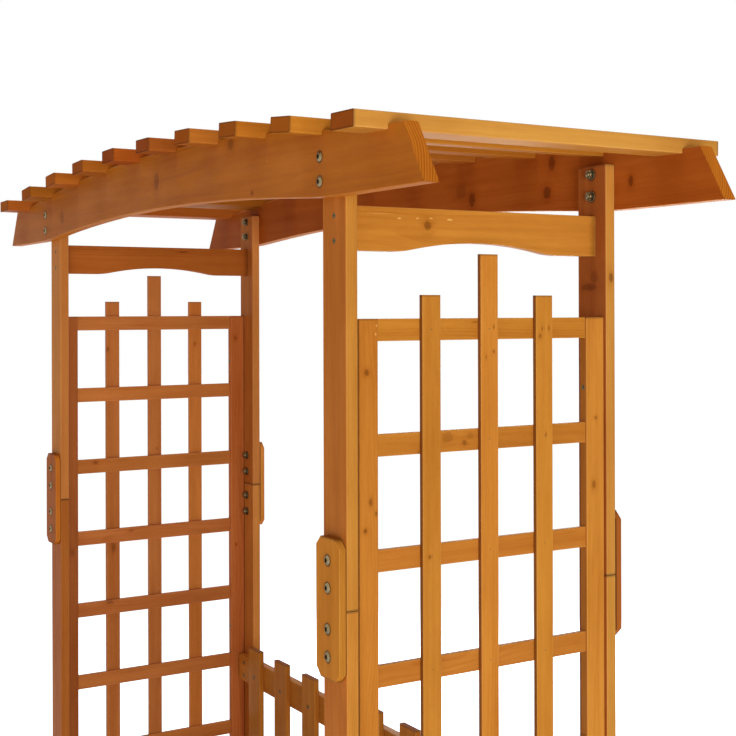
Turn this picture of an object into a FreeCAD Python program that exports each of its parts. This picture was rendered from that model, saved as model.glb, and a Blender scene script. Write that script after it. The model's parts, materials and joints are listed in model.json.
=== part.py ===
import FreeCAD, Part
import math
import os

# Arbour seat with an arched slatted roof, two lattice sides and a bench.
# Millimetres. X runs along the bench, Y from front to back, Z up.
# The origin is on the ground, under the middle of the roof.

# Frame of posts
frame_width = 1360.0
frame_depth = 490.0
post_height = 1900.0
upper_post_length = 650.0
post_width = 68.0
post_thickness = 19.0
post_joint_gap = 1.0

# Roof beams, each sawn from one board with an arched top and bottom edge
beam_thickness = 23.0
beam_reach = 236.0
beam_end_slant = 48.0
beam_top_above_post = 10.0
beam_bottom_below_post = 72.0
soffit_rise = 27.0
soffit_tail_start = 22.0
soffit_blend_radius = 1500.0
ridge_rise = 45.0
ridge_tail_length = 100.0
ridge_blend_radius = 780.0

# Roof slats, let into the beams
slat_count = 10
slat_end_margin = 115.0
slat_width = 60.0
slat_thickness = 23.0
slat_overhang = 51.0
notch_depth = 7.0
notch_play = 1.2

# Plates that splice the two lengths of each post
splice_length = 200.0
splice_thickness = 12.0
splice_corner = 13.0
splice_bolt_inner = 29.0
splice_bolt_outer = 68.0

# Crossrails between the front and back posts, under the roof
rail_thickness = 19.0
rail_height = 64.0
crossrail_drop = 81.0
crossrail_rise = 15.0
crossrail_shoulder = 76.0
crossrail_blend_radius = 150.0
rail_screw_from_top = 15.0
rail_screw_from_bottom = 13.0

# Lattice panels
stile_width = 36.0
stile_thickness = 16.0
stile_inset = 5.0
lath_width = 32.0
lath_thickness = 8.0
lattice_drop = 242.0
lattice_ground_gap = 149.0
lattice_rail_count = 10
upright_spacing = 103.0
side_upright_rise = 34.0
middle_upright_rise = 95.0
housing_depth = 8.0
housing_play = 0.2

# Bench
seat_height = 430.0
seat_rail_thickness = 21.0
seat_rail_height = 64.0
seat_slat_width = 60.0
seat_slat_thickness = 21.0
seat_slat_count = 6
seat_slat_gap = 9.0
seat_front_reach = 39.0
seat_end_play = 2.0
front_slat_screw_shares = (-0.8, -0.27, 0.27, 0.8)
bearer_thickness = 21.0

# Backrest
back_rail_thickness = 19.0
back_rail_height = 60.0
back_slat_width = 60.0
back_slat_thickness = 12.0
back_slat_count = 9
back_top = 870.0
back_slat_lift = 25.0
back_rail_from_end = 35.0

# Bolts, washers and nuts
bolt_diameter = 8.0
bolt_head_diameter = 16.0
bolt_head_height = 4.2
bolt_socket = 6.0
bolt_socket_depth = 2.6
bolt_tip = 2.0
bolt_hole_play = 0.25
washer_diameter = 17.0
washer_thickness = 1.5
nut_across_flats = 13.0
nut_height = 6.5
thread_play = 0.1
beam_bolt_top = 14.0
beam_bolt_spacing = 35.0
seat_bolt_spacing = 32.0

# Wood screws and brads
screw_diameter = 4.2
screw_head_diameter = 8.4
screw_head_depth = 2.4
screw_tip_radius = 0.5
screw_play = 0.1
rail_screw_length = 50.0
slat_screw_length = 45.0
back_screw_length = 30.0
back_rail_screw_spacing = 30.0
panel_screw_length = 50.0
panel_screw_count = 3
panel_screw_margin = 110.0
brad_diameter = 1.8
brad_grip = 7.5
brad_play = 0.05

# Eased edges
board_arris = 2.0
lath_arris = 1.0
beam_arris = 2.0
crossrail_arris = 1.5

# Places that follow from the sizes above
half_width = frame_width / 2
half_depth = frame_depth / 2
post_x = half_width - post_width / 2
inner_post_y = half_depth - post_thickness
joint_z = post_height - upper_post_length
beam_half_bottom = half_width + beam_reach
beam_half_top = beam_half_bottom - beam_end_slant
beam_tail_top = post_height + beam_top_above_post
beam_tail_bottom = post_height - beam_bottom_below_post
slat_pitch = 2 * (beam_half_bottom - slat_end_margin) / (slat_count - 1)
rail_inset = (post_width - rail_thickness) / 2
rail_outer_x = half_width - rail_inset
rail_inner_x = rail_outer_x - rail_thickness
lattice_top = post_height - lattice_drop
lattice_bottom = lattice_ground_gap
lattice_pitch = (lattice_top - lath_width - lattice_bottom) / (lattice_rail_count - 1)
stile_outer_x = half_width - stile_inset
stile_inner_x = stile_outer_x - stile_thickness
stile_inner_y = inner_post_y - stile_width
lath_rail_outer_x = half_width - lath_thickness
lath_rail_inner_x = lath_rail_outer_x - lath_thickness
seat_support_top = seat_height - seat_slat_thickness
seat_rail_bottom = seat_support_top - seat_rail_height
seat_bolt_x = (half_width - post_width + rail_inner_x) / 2
seat_bolt_mid_z = seat_support_top - seat_rail_height / 2
seat_slat_half = min(rail_outer_x, stile_inner_x) - seat_end_play
back_rail_y = inner_post_y - back_rail_thickness
back_slat_y = back_rail_y - back_slat_thickness
back_slat_bottom = seat_height + back_slat_lift

bolt_radius = bolt_diameter / 2
screw_radius = screw_diameter / 2
brad_radius = brad_diameter / 2

X_AXIS = FreeCAD.Vector(1, 0, 0)
Y_AXIS = FreeCAD.Vector(0, 1, 0)
Z_AXIS = FreeCAD.Vector(0, 0, 1)
SIDES = (("left", -1), ("right", 1))
ENDS = (("front", -1), ("back", 1))


def vec(x, y, z):
    return FreeCAD.Vector(x, y, z)


def box(x_range, y_range, z_range):
    lows = [min(r) for r in (x_range, y_range, z_range)]
    highs = [max(r) for r in (x_range, y_range, z_range)]
    return Part.makeBox(highs[0] - lows[0], highs[1] - lows[1], highs[2] - lows[2], vec(*lows))


def mirrored(side, low, high):
    """A range measured from the middle plane, put on one side of it."""
    return (side * low, side * high)


def edges_along(shape, direction):
    """The straight edges of a shape that run along a direction."""
    found = []
    for edge in shape.Edges:
        if edge.Curve.TypeId != "Part::GeomLine":
            continue
        ends = edge.Vertexes
        run = ends[-1].Point.sub(ends[0].Point)
        if run.Length > 0 and abs(abs(run.normalize().dot(direction)) - 1) < 1e-6:
            found.append(edge)
    return found


def board(x_range, y_range, z_range, grain, arris):
    """A planed board whose four long edges are eased."""
    blank = box(x_range, y_range, z_range)
    return blank.makeFillet(arris, edges_along(blank, grain))


def cylinder(base, direction, radius, length):
    return Part.makeCylinder(radius, length, base, direction)


def cone(base, direction, base_radius, end_radius, length):
    return Part.makeCone(base_radius, end_radius, length, base, direction)


def cut_all(shape, tools):
    return shape.cut(Part.makeCompound(tools)) if tools else shape


def oriented(shape, base, direction):
    """A shape made along +Z from the origin, moved to a base and turned along a direction."""
    placed = shape.copy()
    placed.Placement = FreeCAD.Placement(base, FreeCAD.Rotation(Z_AXIS, direction))
    return placed


# Arched edges

class Arch:
    """An edge that is level at its tails and bows up between them, with a smooth blend."""

    def __init__(self, half_span, rise, blend_radius, base_z):
        self.half_span = half_span
        self.rise = rise
        self.base_z = base_z
        total = (half_span ** 2 + rise ** 2) / (2 * rise)
        self.blend_radius = min(blend_radius, total / 2)
        self.radius = total - self.blend_radius
        self.turn_x = half_span * self.radius / total
        self.centre_z = base_z + rise - self.radius

    def height(self, x):
        x = abs(x)
        if x >= self.half_span:
            return self.base_z
        if x <= self.turn_x:
            return self.centre_z + math.sqrt(self.radius ** 2 - x ** 2)
        drop = math.sqrt(self.blend_radius ** 2 - (self.half_span - x) ** 2)
        return self.base_z + self.blend_radius - drop

    def tilt(self, x):
        """Slope angle of the edge, in degrees, falling away from the middle."""
        reach = abs(x)
        if reach >= self.half_span:
            return 0.0
        if reach <= self.turn_x:
            fall = math.asin(reach / self.radius)
        else:
            fall = math.asin((self.half_span - reach) / self.blend_radius)
        return math.degrees(fall) * (1 if x > 0 else -1)

    def edges(self, place):
        """Blend, crown and blend, from the left tail to the right one."""
        def point(x):
            return place(x, self.height(x))
        blend_x = (self.half_span + self.turn_x) / 2
        stops = (-self.half_span, -self.turn_x, self.turn_x, self.half_span)
        middles = (-blend_x, 0.0, blend_x)
        arcs = []
        for start, middle, stop in zip(stops, middles, stops[1:]):
            arcs.append(Part.Arc(point(start), point(middle), point(stop)).toShape())
        return arcs


soffit = Arch(half_width + soffit_tail_start, soffit_rise, soffit_blend_radius, beam_tail_bottom)
ridge = Arch(beam_half_bottom - ridge_tail_length, ridge_rise, ridge_blend_radius, beam_tail_top)


def slat_places():
    """Middle X, underside Z and tilt of each roof slat, from left to right."""
    places = []
    for index in range(slat_count):
        x = (index - (slat_count - 1) / 2) * slat_pitch
        places.append((x, ridge.height(x) - notch_depth, ridge.tilt(x)))
    return places


# Fasteners, each made along +Z from the surface that its head sits on

def hexagon(across_flats, z):
    radius = across_flats / math.sqrt(3)
    corners = []
    for k in range(7):
        angle = math.radians(60 * k)
        corners.append(vec(radius * math.cos(angle), radius * math.sin(angle), z))
    return Part.Face(Part.makePolygon(corners))


def domed_bolt(length):
    """A bolt with a low domed head and a hexagon socket; its head is below Z zero."""
    rim = bolt_head_diameter / 2
    rise = bolt_head_height
    shoulder = rim * math.sqrt(0.5)
    dome_radius = (rim ** 2 + rise ** 2) / (2 * rise)
    middle_rise = math.sqrt(dome_radius ** 2 - shoulder ** 2) - (dome_radius - rise)
    crown = Part.Arc(vec(rim, 0, 0), vec(shoulder, 0, -middle_rise), vec(0, 0, -rise)).toShape()
    base = Part.makeLine(vec(0, 0, 0), vec(rim, 0, 0))
    axis = Part.makeLine(vec(0, 0, -rise), vec(0, 0, 0))
    head = Part.Face(Part.Wire([base, crown, axis])).revolve(vec(0, 0, 0), Z_AXIS, 360)
    socket = hexagon(bolt_socket, -rise).extrude(vec(0, 0, bolt_socket_depth))
    shank = cylinder(vec(0, 0, 0), Z_AXIS, bolt_radius, length)
    return Part.makeSolid(head.fuse(shank).removeSplitter().cut(socket).Shells[0])


def washer():
    ring = cylinder(vec(0, 0, 0), Z_AXIS, washer_diameter / 2, washer_thickness)
    return ring.cut(cylinder(vec(0, 0, 0), Z_AXIS, bolt_radius + bolt_hole_play, washer_thickness))


def hex_nut():
    """A nut with its outer corners chamfered at the free face."""
    corner = nut_across_flats / math.sqrt(3)
    flat = nut_across_flats / 2
    bevel = corner - flat
    body = hexagon(nut_across_flats, 0).extrude(vec(0, 0, nut_height))
    lower = cylinder(vec(0, 0, 0), Z_AXIS, corner, nut_height - bevel)
    upper = cone(vec(0, 0, nut_height - bevel), Z_AXIS, corner, flat, bevel)
    bore = cylinder(vec(0, 0, 0), Z_AXIS, bolt_radius + thread_play, nut_height)
    return body.common(lower.fuse(upper)).cut(bore)


def screw(length):
    """A countersunk wood screw whose head is flush at Z zero."""
    tip = screw_diameter
    head = cone(vec(0, 0, 0), Z_AXIS, screw_head_diameter / 2, screw_radius, screw_head_depth)
    shank = cylinder(vec(0, 0, screw_head_depth), Z_AXIS, screw_radius, length - screw_head_depth - tip)
    point = cone(vec(0, 0, length - tip), Z_AXIS, screw_radius, screw_tip_radius, tip)
    return head.fuse([shank, point])


def screw_hole(length):
    """The pilot and countersink that a screw of that length needs."""
    mouth = screw_head_diameter / 2 + screw_play
    neck = screw_radius + screw_play
    sink = cone(vec(0, 0, 0), Z_AXIS, mouth, neck, screw_head_depth)
    bore = cylinder(vec(0, 0, 0), Z_AXIS, neck, length + screw_play)
    return sink.fuse(bore)


def brad():
    return cylinder(vec(0, 0, 0), Z_AXIS, brad_radius, lath_thickness + brad_grip)


def brad_hole():
    return cylinder(vec(0, 0, 0), Z_AXIS, brad_radius + brad_play, lath_thickness + brad_grip)


class Fixings:
    """One kind of fastener: where each one sits, and the holes that it needs."""

    def __init__(self, solid, hole):
        self.solid = solid
        self.hole = hole
        self.places = []

    def add(self, base, direction):
        self.places.append((base, direction))

    def solids(self):
        return [oriented(self.solid, base, direction) for base, direction in self.places]

    def holes(self):
        return [oriented(self.hole, base, direction) for base, direction in self.places]


def bolt_fixings(wood):
    length = wood + washer_thickness + nut_height + bolt_tip
    hole = cylinder(vec(0, 0, 0), Z_AXIS, bolt_radius + bolt_hole_play, wood)
    return Fixings(domed_bolt(length), hole)


def screw_fixings(length):
    return Fixings(screw(length), screw_hole(length))


# Where the fasteners go

beam_bolts = bolt_fixings(beam_thickness + post_thickness)
splice_bolts = bolt_fixings(splice_thickness + post_thickness)
seat_bolts = bolt_fixings(seat_rail_thickness + post_thickness)
nut_places = []


def add_bolt(fixings, x, end, z, outer_thickness):
    """A bolt from the outer face of what lies on a post, with its nut inside the post."""
    inward = vec(0, -end, 0)
    fixings.add(vec(x, end * (half_depth + outer_thickness), z), inward)
    nut_places.append((vec(x, end * inner_post_y, z), inward))


for _, side in SIDES:
    for _, end in ENDS:
        for row in range(2):
            beam_bolt_z = post_height - beam_bolt_top - row * beam_bolt_spacing
            add_bolt(beam_bolts, side * post_x, end, beam_bolt_z, beam_thickness)
        for offset in (splice_bolt_outer, splice_bolt_inner, -splice_bolt_inner, -splice_bolt_outer):
            add_bolt(splice_bolts, side * post_x, end, joint_z + offset, splice_thickness)
        for offset in (-seat_bolt_spacing / 2, seat_bolt_spacing / 2):
            seat_bolt_z = seat_bolt_mid_z + offset
            add_bolt(seat_bolts, side * seat_bolt_x, end, seat_bolt_z, seat_rail_thickness)

rail_screws = screw_fixings(rail_screw_length)
rail_middle_x = (rail_outer_x + rail_inner_x) / 2
for rail_top in (post_height - crossrail_drop, seat_support_top):
    for screw_z in (rail_top - rail_screw_from_top, rail_top - rail_height + rail_screw_from_bottom):
        for _, side in SIDES:
            for _, end in ENDS:
                rail_screws.add(vec(side * rail_middle_x, end * half_depth, screw_z), vec(0, -end, 0))

bearer_screws = screw_fixings(rail_screw_length)
for offset in (-seat_bolt_spacing / 2, seat_bolt_spacing / 2):
    for _, end in ENDS:
        face_y = end * (half_depth + seat_rail_thickness)
        bearer_screws.add(vec(0, face_y, seat_bolt_mid_z + offset), vec(0, -end, 0))

roof_screws = screw_fixings(slat_screw_length)
for x, z, tilt in slat_places():
    turn = FreeCAD.Rotation(Y_AXIS, tilt)
    for _, end in ENDS:
        y = end * (half_depth + beam_thickness / 2)
        top = vec(x, y, z).add(turn.multVec(vec(0, 0, slat_thickness)))
        roof_screws.add(top, turn.multVec(vec(0, 0, -1)))

# Seat slats: one short one between the front posts, the others behind it
seat_front_edge = -(half_depth + seat_front_reach)
seat_slat_starts = [seat_front_edge + k * (seat_slat_width + seat_slat_gap)
                    for k in range(seat_slat_count + 1)]
seat_screws = screw_fixings(slat_screw_length)
front_slat_screw_y = -(half_depth + seat_rail_thickness / 2)
front_slat_half = half_width - post_width - seat_end_play
for share in front_slat_screw_shares:
    seat_screws.add(vec(share * front_slat_half, front_slat_screw_y, seat_height), vec(0, 0, -1))
for start in seat_slat_starts[1:]:
    for x in (-rail_middle_x, 0.0, rail_middle_x):
        seat_screws.add(vec(x, start + seat_slat_width / 2, seat_height), vec(0, 0, -1))

back_rail_tops = (back_top - back_rail_from_end, back_slat_bottom + back_rail_from_end + back_rail_height)
back_span = 2 * (half_width - post_width)
back_slat_pitch = back_span / back_slat_count
back_slat_xs = [(k - (back_slat_count - 1) / 2) * back_slat_pitch for k in range(back_slat_count)]
back_screws = screw_fixings(back_screw_length)
for rail_top in back_rail_tops:
    rail_middle_z = rail_top - back_rail_height / 2
    for x in back_slat_xs:
        back_screws.add(vec(x, back_slat_y, rail_middle_z), Y_AXIS)
    for _, side in SIDES:
        for offset in (-back_rail_screw_spacing / 2, back_rail_screw_spacing / 2):
            back_screws.add(vec(side * seat_bolt_x, back_rail_y, rail_middle_z + offset), Y_AXIS)

panel_screws = screw_fixings(panel_screw_length)
panel_screw_run = lattice_top - lattice_bottom - 2 * panel_screw_margin
stile_middle_x = (stile_outer_x + stile_inner_x) / 2
for _, side in SIDES:
    for _, end in ENDS:
        for k in range(panel_screw_count):
            screw_z = lattice_bottom + panel_screw_margin + k * panel_screw_run / (panel_screw_count - 1)
            panel_screws.add(vec(side * stile_middle_x, end * stile_inner_y, screw_z), vec(0, end, 0))

lattice_rail_tops = [lattice_top - k * lattice_pitch for k in range(lattice_rail_count)]
upright_rows = (("front", -upright_spacing, side_upright_rise),
                ("middle", 0.0, middle_upright_rise),
                ("back", upright_spacing, side_upright_rise))
brads = Fixings(brad(), brad_hole())
for _, side in SIDES:
    for rail_top in lattice_rail_tops:
        brad_z = rail_top - lath_width / 2
        for _, y, _ in upright_rows:
            brads.add(vec(side * half_width, y, brad_z), vec(-side, 0, 0))

nodes = {}


# Posts and the plates that splice them

post_holes = (beam_bolts.holes() + splice_bolts.holes() + seat_bolts.holes()
              + rail_screws.holes() + panel_screws.holes() + back_screws.holes())


def make_posts():
    for side_name, side in SIDES:
        xs = mirrored(side, half_width - post_width, half_width)
        for end_name, end in ENDS:
            ys = mirrored(end, inner_post_y, half_depth)
            lower_zs = (0.0, joint_z - post_joint_gap / 2)
            upper_zs = (joint_z + post_joint_gap / 2, post_height)
            for level, zs in (("lower", lower_zs), ("upper", upper_zs)):
                post = board(xs, ys, zs, Z_AXIS, board_arris)
                nodes["%s_%s_post_%s" % (end_name, side_name, level)] = cut_all(post, post_holes)


def make_splice_plates():
    for side_name, side in SIDES:
        xs = mirrored(side, half_width - post_width, half_width)
        for end_name, end in ENDS:
            ys = mirrored(end, half_depth, half_depth + splice_thickness)
            blank = box(xs, ys, (joint_z - splice_length / 2, joint_z + splice_length / 2))
            plate = blank.makeChamfer(splice_corner, edges_along(blank, Y_AXIS))
            name = "%s_%s_splice_plate" % (end_name, side_name)
            nodes[name] = cut_all(plate, splice_bolts.holes())


# Roof

def beam_outline(y):
    def place(x, z):
        return vec(x, y, z)
    bottom = soffit.edges(place)
    top = ridge.edges(place)
    tail_points = [place(-soffit.half_span, beam_tail_bottom), place(-beam_half_bottom, beam_tail_bottom),
                   place(-beam_half_top, beam_tail_top), place(-ridge.half_span, beam_tail_top)]
    edges = list(bottom) + list(top)
    for mirror in (1, -1):
        points = [vec(mirror * p.x, p.y, p.z) for p in tail_points]
        edges += [Part.makeLine(a, b) for a, b in zip(points, points[1:])]
    return Part.Wire(Part.__sortEdges__(edges))


def slat_box(width, height, y_half, below):
    """A slat-shaped bar, laid on the underside place of a slat."""
    bars = []
    for x, z, tilt in slat_places():
        bar = box((-width / 2, width / 2), (-y_half, y_half), (-below, height))
        bar.Placement = FreeCAD.Placement(vec(x, 0, z), FreeCAD.Rotation(Y_AXIS, tilt))
        bars.append(bar)
    return bars


def make_beams():
    notches = slat_box(slat_width + 2 * notch_play, slat_thickness, half_depth + 2 * beam_thickness, 0.0)
    holes = beam_bolts.holes() + roof_screws.holes()
    for end_name, end in ENDS:
        face = Part.Face(beam_outline(end * half_depth))
        blank = face.extrude(vec(0, end * beam_thickness, 0))
        bounds = [(edge, edge.BoundBox) for edge in blank.Edges]
        rims = [edge for edge, b in bounds if b.YLength < 1e-6 and b.XLength > b.ZLength]
        nodes[end_name + "_roof_beam"] = cut_all(blank.makeFillet(beam_arris, rims), notches + holes)


def make_roof_slats():
    length_half = half_depth + beam_thickness + slat_overhang
    for index, (x, z, tilt) in enumerate(slat_places()):
        slat = board((-slat_width / 2, slat_width / 2), (-length_half, length_half),
                     (0.0, slat_thickness), Y_AXIS, board_arris)
        slat.Placement = FreeCAD.Placement(vec(x, 0, z), FreeCAD.Rotation(Y_AXIS, tilt))
        nodes["roof_slat_%02d" % (index + 1)] = cut_all(slat, roof_screws.holes())


# Crossrails

def make_crossrails():
    top = post_height - crossrail_drop
    bottom = top - rail_height
    edge = Arch(inner_post_y - crossrail_shoulder, crossrail_rise, crossrail_blend_radius, bottom)
    for side_name, side in SIDES:
        x = side * rail_inner_x

        def place(y, z):
            return vec(x, y, z)
        corners = [place(edge.half_span, bottom), place(inner_post_y, bottom), place(inner_post_y, top),
                   place(-inner_post_y, top), place(-inner_post_y, bottom), place(-edge.half_span, bottom)]
        outline = edge.edges(place) + [Part.makeLine(a, b) for a, b in zip(corners, corners[1:])]
        face = Part.Face(Part.Wire(Part.__sortEdges__(outline)))
        blank = face.extrude(vec(side * rail_thickness, 0, 0))
        rims = [e for e in blank.Edges if e.BoundBox.XLength < 1e-6 and e.BoundBox.YLength > 1e-6]
        rail = blank.makeFillet(crossrail_arris, rims)
        nodes[side_name + "_crossrail"] = cut_all(rail, rail_screws.holes())


# Lattice panels

def make_lattice(side_name, side):
    rail_xs = mirrored(side, lath_rail_inner_x, lath_rail_outer_x)
    play_xs = mirrored(side, lath_rail_inner_x - housing_play, lath_rail_outer_x + housing_play)
    housed_y = stile_inner_y + housing_depth
    brad_holes = brads.holes()
    housings = []
    rails = []
    for rail_top in lattice_rail_tops:
        zs = (rail_top - lath_width, rail_top)
        rails.append(board(rail_xs, (-housed_y, housed_y), zs, Y_AXIS, lath_arris))
        play_y = housed_y + housing_play
        housings.append(box(play_xs, (-play_y, play_y), zs))
    nodes[side_name + "_lattice_rails"] = [cut_all(rail, brad_holes) for rail in rails]

    stile_xs = mirrored(side, stile_inner_x, stile_outer_x)
    for end_name, end in ENDS:
        stile_ys = mirrored(end, stile_inner_y, inner_post_y)
        stile = board(stile_xs, stile_ys, (lattice_bottom, lattice_top), Z_AXIS, board_arris)
        name = "%s_lattice_stile_%s" % (side_name, end_name)
        nodes[name] = cut_all(stile, housings + panel_screws.holes())

    upright_xs = mirrored(side, lath_rail_outer_x, half_width)
    for row_name, y, rise in upright_rows:
        upright = board(upright_xs, (y - lath_width / 2, y + lath_width / 2),
                        (lattice_bottom, lattice_top + rise), Z_AXIS, lath_arris)
        nodes["%s_lattice_upright_%s" % (side_name, row_name)] = cut_all(upright, brad_holes)


# Bench

def make_seat_frame():
    zs = (seat_rail_bottom, seat_support_top)
    for side_name, side in SIDES:
        rail = board(mirrored(side, rail_inner_x, rail_outer_x), (-inner_post_y, inner_post_y),
                     (seat_support_top - rail_height, seat_support_top), Y_AXIS, board_arris)
        nodes[side_name + "_seat_rail"] = cut_all(rail, rail_screws.holes() + seat_screws.holes())
    for end_name, end in ENDS:
        rail = board((-half_width, half_width), mirrored(end, half_depth, half_depth + seat_rail_thickness),
                     zs, X_AXIS, board_arris)
        holes = seat_bolts.holes() + bearer_screws.holes() + seat_screws.holes()
        nodes[end_name + "_seat_rail"] = cut_all(rail, holes)
    bearer = board((-bearer_thickness / 2, bearer_thickness / 2), (-half_depth, half_depth),
                   zs, Y_AXIS, board_arris)
    nodes["middle_seat_bearer"] = cut_all(bearer, bearer_screws.holes() + seat_screws.holes())


def make_seat_slats():
    zs = (seat_support_top, seat_height)
    holes = seat_screws.holes()
    slats = []
    for start in seat_slat_starts:
        half = front_slat_half if start == seat_front_edge else seat_slat_half
        slat = board((-half, half), (start, start + seat_slat_width), zs, X_AXIS, board_arris)
        slats.append(cut_all(slat, holes))
    nodes["front_seat_slat"] = slats[0]
    nodes["seat_slats"] = slats[1:]


# Backrest

def make_backrest():
    holes = back_screws.holes()
    for name, rail_top in zip(("back_top_rail", "back_lower_rail"), back_rail_tops):
        rail = board((-seat_slat_half, seat_slat_half), (back_rail_y, inner_post_y),
                     (rail_top - back_rail_height, rail_top), X_AXIS, board_arris)
        nodes[name] = cut_all(rail, holes)
    slats = []
    for x in back_slat_xs:
        slat = board((x - back_slat_width / 2, x + back_slat_width / 2), (back_slat_y, back_rail_y),
                     (back_slat_bottom, back_top), Z_AXIS, board_arris)
        slats.append(cut_all(slat, holes))
    nodes["back_slats"] = slats


# Fasteners

def make_fasteners():
    nodes["beam_bolts"] = beam_bolts.solids()
    nodes["splice_bolts"] = splice_bolts.solids()
    nodes["seat_rail_bolts"] = seat_bolts.solids()
    ring = washer()
    nut = hex_nut()
    nodes["washers"] = [oriented(ring, base, way) for base, way in nut_places]
    nodes["hex_nuts"] = [oriented(nut, base.add(way * washer_thickness), way) for base, way in nut_places]
    nodes["rail_screws"] = rail_screws.solids() + bearer_screws.solids()
    nodes["roof_slat_screws"] = roof_screws.solids()
    nodes["seat_slat_screws"] = seat_screws.solids()
    nodes["backrest_screws"] = back_screws.solids()
    nodes["panel_screws"] = panel_screws.solids()
    nodes["lattice_brads"] = brads.solids()


def write_parts():
    os.makedirs("parts", exist_ok=True)
    for name, shape in nodes.items():
        solids = []
        for piece in (shape if isinstance(shape, list) else [shape]):
            solids += piece.Solids
        whole = solids[0] if len(solids) == 1 else Part.makeCompound(solids)
        whole.exportStep("parts/%s.step" % name)
        print(name, len(solids), "solid" if len(solids) == 1 else "solids",
              "valid" if whole.isValid() else "NOT VALID", round(whole.Volume))
    print(len(nodes), "nodes")


make_posts()
make_splice_plates()
make_beams()
make_roof_slats()
make_crossrails()
for side_name, side in SIDES:
    make_lattice(side_name, side)
make_seat_frame()
make_seat_slats()
make_backrest()
make_fasteners()
write_parts()
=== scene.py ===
import json
import math
import random

import bmesh
import bpy
from mathutils import Matrix, Vector


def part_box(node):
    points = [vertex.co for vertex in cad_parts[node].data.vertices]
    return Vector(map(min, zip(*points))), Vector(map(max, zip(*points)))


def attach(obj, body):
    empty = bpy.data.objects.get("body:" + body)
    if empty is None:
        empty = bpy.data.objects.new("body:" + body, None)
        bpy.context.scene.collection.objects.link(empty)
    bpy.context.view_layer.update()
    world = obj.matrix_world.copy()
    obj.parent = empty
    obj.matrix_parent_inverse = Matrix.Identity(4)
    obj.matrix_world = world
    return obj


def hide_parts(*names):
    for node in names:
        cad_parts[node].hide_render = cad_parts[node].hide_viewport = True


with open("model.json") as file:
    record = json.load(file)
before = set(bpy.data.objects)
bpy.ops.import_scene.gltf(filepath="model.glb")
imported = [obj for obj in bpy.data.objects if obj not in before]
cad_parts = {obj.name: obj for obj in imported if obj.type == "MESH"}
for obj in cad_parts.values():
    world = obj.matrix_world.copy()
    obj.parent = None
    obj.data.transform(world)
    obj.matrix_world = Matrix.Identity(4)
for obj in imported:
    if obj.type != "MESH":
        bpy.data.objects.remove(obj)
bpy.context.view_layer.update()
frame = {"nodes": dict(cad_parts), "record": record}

# Looks of the arbour seat. Metres, +Z up, the open front faces -Y.
# Every board is redrawn from its solid with eased ends and its own grain, knots and tone.

nodes = frame["nodes"]
slots = {part["node"]: part["material_slot"] for part in frame["record"]["subparts"]}
WOOD_SLOTS = ("stained_frame", "stained_slats", "stained_laths")

# Camera of the photo: place, heading from +Y towards -X, tilt and roll in radians, focal length in pixels
CAMERA_PLACE = (2.27241, -1.14549, 1.66917)
CAMERA_YAW = 1.01937
CAMERA_PITCH = 0.00184
CAMERA_ROLL = -0.00273
CAMERA_FOCAL = 1313.892
CAMERA_CENTRE = (394.386, 308.371)
PICTURE_SIZE = 736
SENSOR = 36.0

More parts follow.
